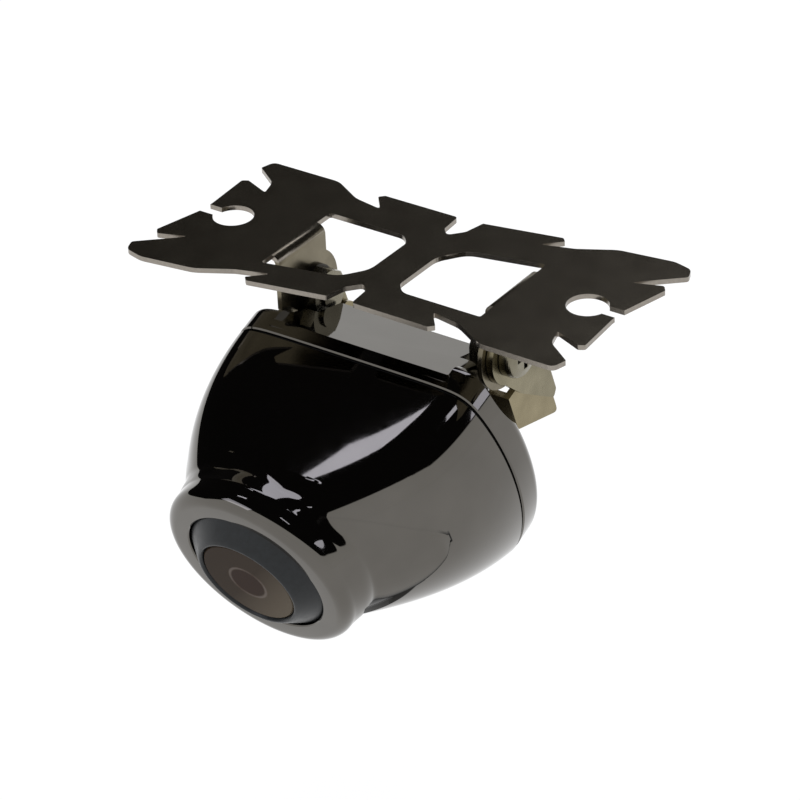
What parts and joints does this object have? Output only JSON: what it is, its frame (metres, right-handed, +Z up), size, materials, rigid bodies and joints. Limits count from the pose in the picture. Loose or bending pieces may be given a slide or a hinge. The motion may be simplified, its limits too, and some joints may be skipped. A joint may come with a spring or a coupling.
{
  "type": "backup camera",
  "caption": "Tilting backup camera with a gloss-black flared housing and round window, hung on pivot screws from a stamped notched mounting plate with bent tabs.",
  "frame": {"origin": "middle of the mounting plate's top face", "axes": "+X along the plate, +Z up out of its top face, the lens looks towards -Y and down"},
  "size_m": [0.0578, 0.0493, 0.0351],
  "materials": {
    "zinc_steel": "olive zinc-plated sheet, semi-gloss, bright cut edges",
    "screw_steel": "plated steel, satin",
    "dark_steel": "blackened steel, satin",
    "gloss_black": "black-chrome plated moulding, mirror gloss",
    "ring_grey": "dark slate grey, satin",
    "seal_rubber": "black rubber, dull",
    "tinted_window": "brown-tinted flat window",
    "lens_glass": "coated glass",
    "matte_black": "black moulding, matte",
    "board_green": "green circuit board, satin",
    "chip_dark": "dark sensor chip, glossy",
    "header_cream": "cream moulding, matte"
  },
  "bodies": {
    "bracket": {"mount_plate": "zinc_steel", "left_pivot_screw": "screw_steel", "right_pivot_screw": "screw_steel", "left_pivot_washer": "dark_steel", "right_pivot_washer": "dark_steel", "left_pivot_nut": "screw_steel", "right_pivot_nut": "screw_steel"},
    "camera": {"left_swivel_arm": "zinc_steel", "right_swivel_arm": "zinc_steel", "arm_rivets": "zinc_steel", "rear_saddle": "zinc_steel", "saddle_screws": "screw_steel", "cable_gland": "seal_rubber", "back_cover": "gloss_black", "cover_gasket": "seal_rubber", "housing_screws": "screw_steel", "front_shell": "gloss_black", "lens_ring": "ring_grey", "cover_window": "tinted_window", "window_seal": "seal_rubber", "lens_barrel": "matte_black", "front_lens": "lens_glass", "lens_spacer": "matte_black", "rear_lens": "lens_glass", "lens_retainer": "matte_black", "lens_holder": "matte_black", "ir_filter": "lens_glass", "image_sensor": "chip_dark", "sensor_board": "board_green", "board_screws": "screw_steel", "wire_header": "header_cream"}
  },
  "joints": [
    {"name": "camera_tilt", "type": "hinge", "parent": "bracket", "child": "camera", "pos_m": [0.0003, -0.00095, -0.007], "axis": [1, 0, 0], "range_deg": [-15, 45]}
  ]
}
